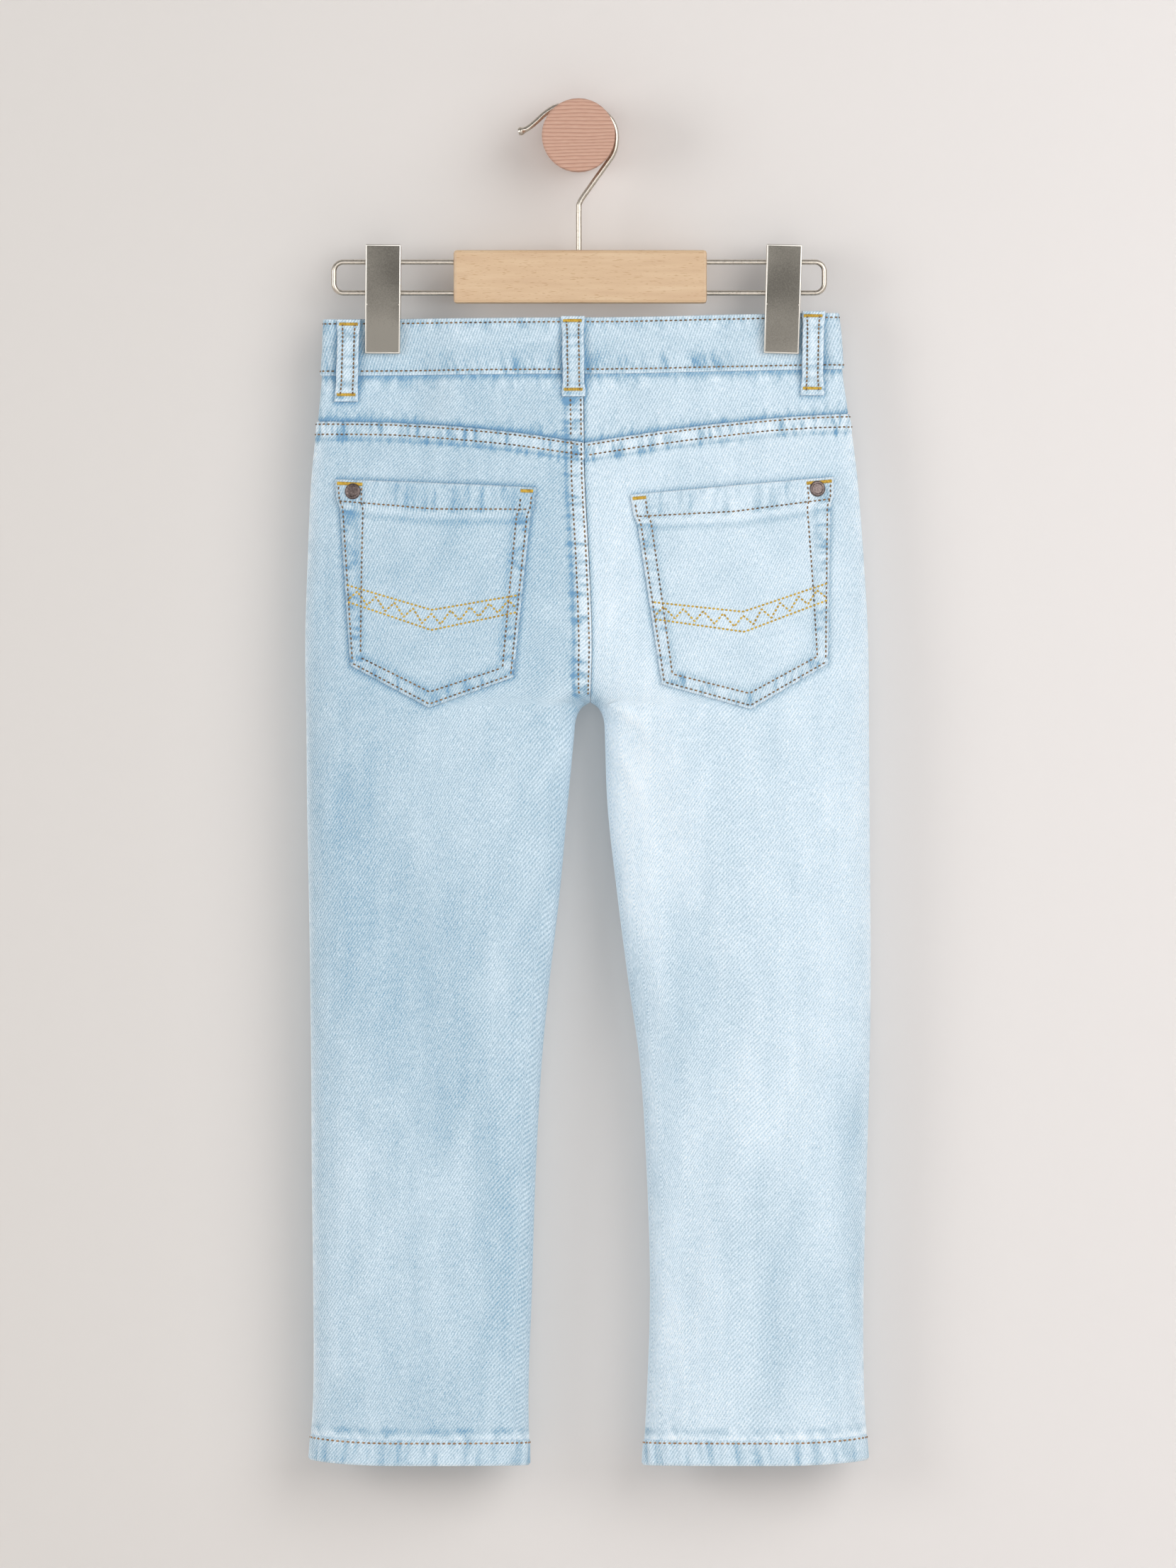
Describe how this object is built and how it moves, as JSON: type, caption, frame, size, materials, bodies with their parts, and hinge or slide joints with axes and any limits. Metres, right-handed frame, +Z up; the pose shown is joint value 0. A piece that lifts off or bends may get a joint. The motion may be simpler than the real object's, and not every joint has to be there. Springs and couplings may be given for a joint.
{
  "type": "child's jeans on a clip hanger and wall peg",
  "caption": "Child's straight-leg jeans with back pockets and belt loops, hung by the waistband from a wooden clip hanger on a round wall peg.",
  "frame": {"origin": "middle of the wall peg's back face, on the wall", "axes": "+Z up, +Y into the wall so the seat side faces -Y, +X to the right of someone looking at the seat"},
  "size_m": [0.3351, 0.0584, 0.8088],
  "materials": {
    "denim": "washed twill",
    "thread": "spun thread",
    "rivet_metal": "antique copper",
    "clip_metal": "satin nickel",
    "wire_metal": "satin nickel wire",
    "bar_wood": "clear beech",
    "peg_wood": "bare softwood"
  },
  "bodies": {
    "root": {"back_left_hip": "denim", "back_left_thigh": "denim", "back_left_shin": "denim", "back_right_hip": "denim", "back_right_thigh": "denim", "back_right_shin": "denim", "front_left_hip": "denim", "front_left_thigh": "denim", "front_left_shin": "denim", "front_right_hip": "denim", "front_right_thigh": "denim", "front_right_shin": "denim", "yoke_left": "denim", "yoke_right": "denim", "waistband_left": "denim", "waistband_right": "denim", "belt_loop_back_left": "denim", "belt_loop_back_centre": "denim", "belt_loop_back_right": "denim", "belt_loop_front_left": "denim", "belt_loop_front_right": "denim", "back_pocket_left": "denim", "back_pocket_right": "denim", "pocket_facing_left": "denim", "pocket_facing_right": "denim", "fly": "denim", "hem_left": "denim", "hem_right": "denim", "rivet_left": "rivet_metal", "rivet_right": "rivet_metal", "waist_button": "rivet_metal", "wood_bar": "bar_wood", "wire_left": "wire_metal", "wire_right": "wire_metal", "hook": "wire_metal", "clip_left_seat_jaw": "clip_metal", "clip_left_fly_jaw": "clip_metal", "clip_right_seat_jaw": "clip_metal", "clip_right_fly_jaw": "clip_metal", "clip_left_spring": "wire_metal", "clip_right_spring": "wire_metal", "wall_peg": "peg_wood"}
  },
  "joints": []
}
